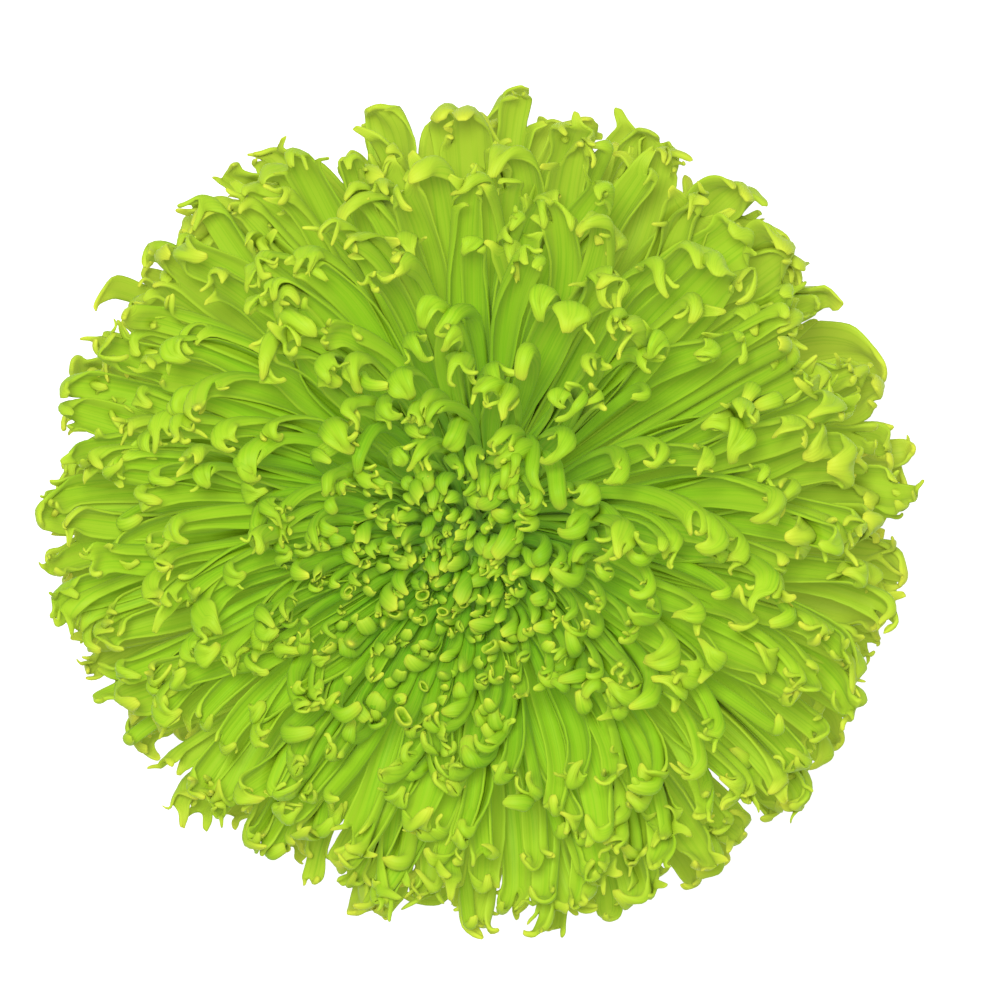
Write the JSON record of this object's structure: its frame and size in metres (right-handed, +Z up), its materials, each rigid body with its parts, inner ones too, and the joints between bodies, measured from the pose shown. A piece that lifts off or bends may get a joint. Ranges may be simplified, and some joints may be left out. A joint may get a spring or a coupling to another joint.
{
  "type": "disbud chrysanthemum bloom",
  "caption": "Large double green chrysanthemum bloom with hooked, channelled florets round a tight eye, on a short cut stub of stem, lying face up.",
  "frame": {"origin": "on the surface that the bloom rests on, under the middle of its outline", "axes": "+Z up along the bloom's axis, from the cut end of the stem to the eye; X and Y lie in the surface"},
  "size_m": [0.1162, 0.1188, 0.0606],
  "materials": {
    "stem": "ribbed green stem, satin, with a paler cut end",
    "calyx": "dull mid green bracts with thin dry pale edges",
    "outer_florets": "satin petal, pale yellow-green, lets light through",
    "ray_florets": "satin petal, lime green with yellow-green tips, lets light through",
    "eye_florets": "satin petal, deeper green with pale tips"
  },
  "bodies": {
    "root": {"stem": "stem", "calyx": "calyx", "outer_florets": "outer_florets", "ray_florets": "ray_florets", "eye_florets": "eye_florets"}
  },
  "joints": []
}
